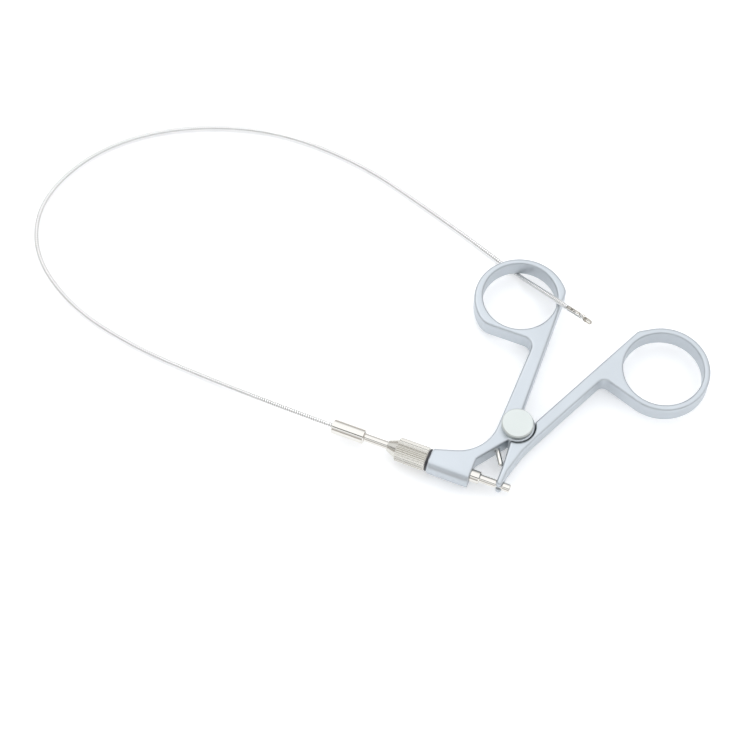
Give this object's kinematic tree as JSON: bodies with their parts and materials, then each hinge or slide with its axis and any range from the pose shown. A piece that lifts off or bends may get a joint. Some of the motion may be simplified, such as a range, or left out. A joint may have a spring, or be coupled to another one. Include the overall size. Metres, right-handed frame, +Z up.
{
  "type": "flexible biopsy forceps",
  "caption": "Scissor handle that pulls a wire through a long thin flexible coil shaft and shuts a small pair of cup jaws at its end.",
  "frame": {"origin": "on the axis of the handle's pivot, at the flat face of the pivot's nut and screw end that rests on the table", "axes": "+X along the barrel and pull rod, away from the flexible shaft; +Y from the barrel towards the finger rings; +Z up, along the pivot's axis towards the screw head"},
  "size_m": [0.2218, 0.1001, 0.0179],
  "materials": {
    "handle_steel": "satin, slightly blue-grey stainless steel, crisp rounded edges",
    "screw_steel": "matt turned stainless steel",
    "nickel": "knurled nickel-plated metal",
    "bright_steel": "polished stainless steel",
    "seal": "black rubber",
    "coil_steel": "bright stainless flat wire, closely wound",
    "inner_steel": "plain stainless steel"
  },
  "bodies": {
    "frame": {"fixed_handle": "handle_steel", "pivot_screw": "screw_steel", "pivot_washer": "inner_steel", "pivot_nut": "screw_steel", "stop_pin": "bright_steel", "guide_bush": "bright_steel", "threaded_nipple": "inner_steel", "seal_ring": "seal", "shaft_ferrule": "inner_steel", "neck_tube": "bright_steel", "strain_relief_sleeve": "bright_steel", "coil_shaft": "coil_steel", "wire_core": "inner_steel", "jaw_clevis": "bright_steel", "jaw_pin": "bright_steel"},
    "moving_handle": {"moving_handle": "handle_steel"},
    "rod": {"pull_rod": "bright_steel", "rod_knob": "bright_steel", "wire_crimp": "inner_steel", "wire_proximal": "inner_steel"},
    "union_nut": {"union_nut": "nickel"},
    "yoke": {"yoke": "bright_steel", "yoke_pin": "bright_steel", "wire_distal": "inner_steel"},
    "jaw_upper": {"jaw_upper": "bright_steel", "link_pin_upper": "bright_steel"},
    "jaw_lower": {"jaw_lower": "bright_steel", "link_pin_lower": "bright_steel"},
    "link_upper": {"link_upper": "bright_steel"},
    "link_lower": {"link_lower": "bright_steel"}
  },
  "joints": [
    {"name": "handle_hinge", "type": "hinge", "parent": "frame", "child": "moving_handle", "pos_m": [0, 0, 0.0053], "axis": [0, 0, 1], "range_deg": [0, 15]},
    {"name": "rod_slide", "type": "slide", "parent": "frame", "child": "rod", "axis": [1, 0, 0], "range_m": [0, 0.00502]},
    {"name": "union_nut_turn", "type": "hinge", "parent": "frame", "child": "union_nut", "pos_m": [-0.0266, -0.0192, 0.0053], "axis": [1, 0, 0], "range_deg": [-360, 360]},
    {"name": "yoke_slide", "type": "slide", "parent": "frame", "child": "yoke", "axis": [-0.7877, 0.4458, -0.4252], "range_m": [0, 0.000775]},
    {"name": "jaw_upper_hinge", "type": "hinge", "parent": "frame", "child": "jaw_upper", "pos_m": [0.00591, 0.03987, 0.01432], "axis": [-0.2995, -0.8802, -0.3681], "range_deg": [-31.01, 0]},
    {"name": "jaw_lower_hinge", "type": "hinge", "parent": "frame", "child": "jaw_lower", "pos_m": [0.00591, 0.03987, 0.01432], "axis": [-0.2995, -0.8802, -0.3681], "range_deg": [0, 31.01]},
    {"name": "link_upper_hinge", "type": "hinge", "parent": "yoke", "child": "link_upper", "pos_m": [0.0032, 0.0414, 0.01285], "axis": [-0.2995, -0.8802, -0.3681], "range_deg": [0, 11.55]},
    {"name": "link_lower_hinge", "type": "hinge", "parent": "yoke", "child": "link_lower", "pos_m": [0.0032, 0.0414, 0.01285], "axis": [-0.2995, -0.8802, -0.3681], "range_deg": [-11.55, 0]}
  ],
  "couplings": [
    {"joint": "rod_slide", "follows": "handle_hinge", "m_per_rad": 0.019165},
    {"joint": "yoke_slide", "follows": "handle_hinge", "m_per_rad": 0.0029546},
    {"joint": "jaw_upper_hinge", "follows": "handle_hinge", "ratio": -2.0667},
    {"joint": "jaw_lower_hinge", "follows": "handle_hinge", "ratio": 2.0667},
    {"joint": "link_upper_hinge", "follows": "handle_hinge", "ratio": 0.76954},
    {"joint": "link_lower_hinge", "follows": "handle_hinge", "ratio": -0.76954}
  ]
}
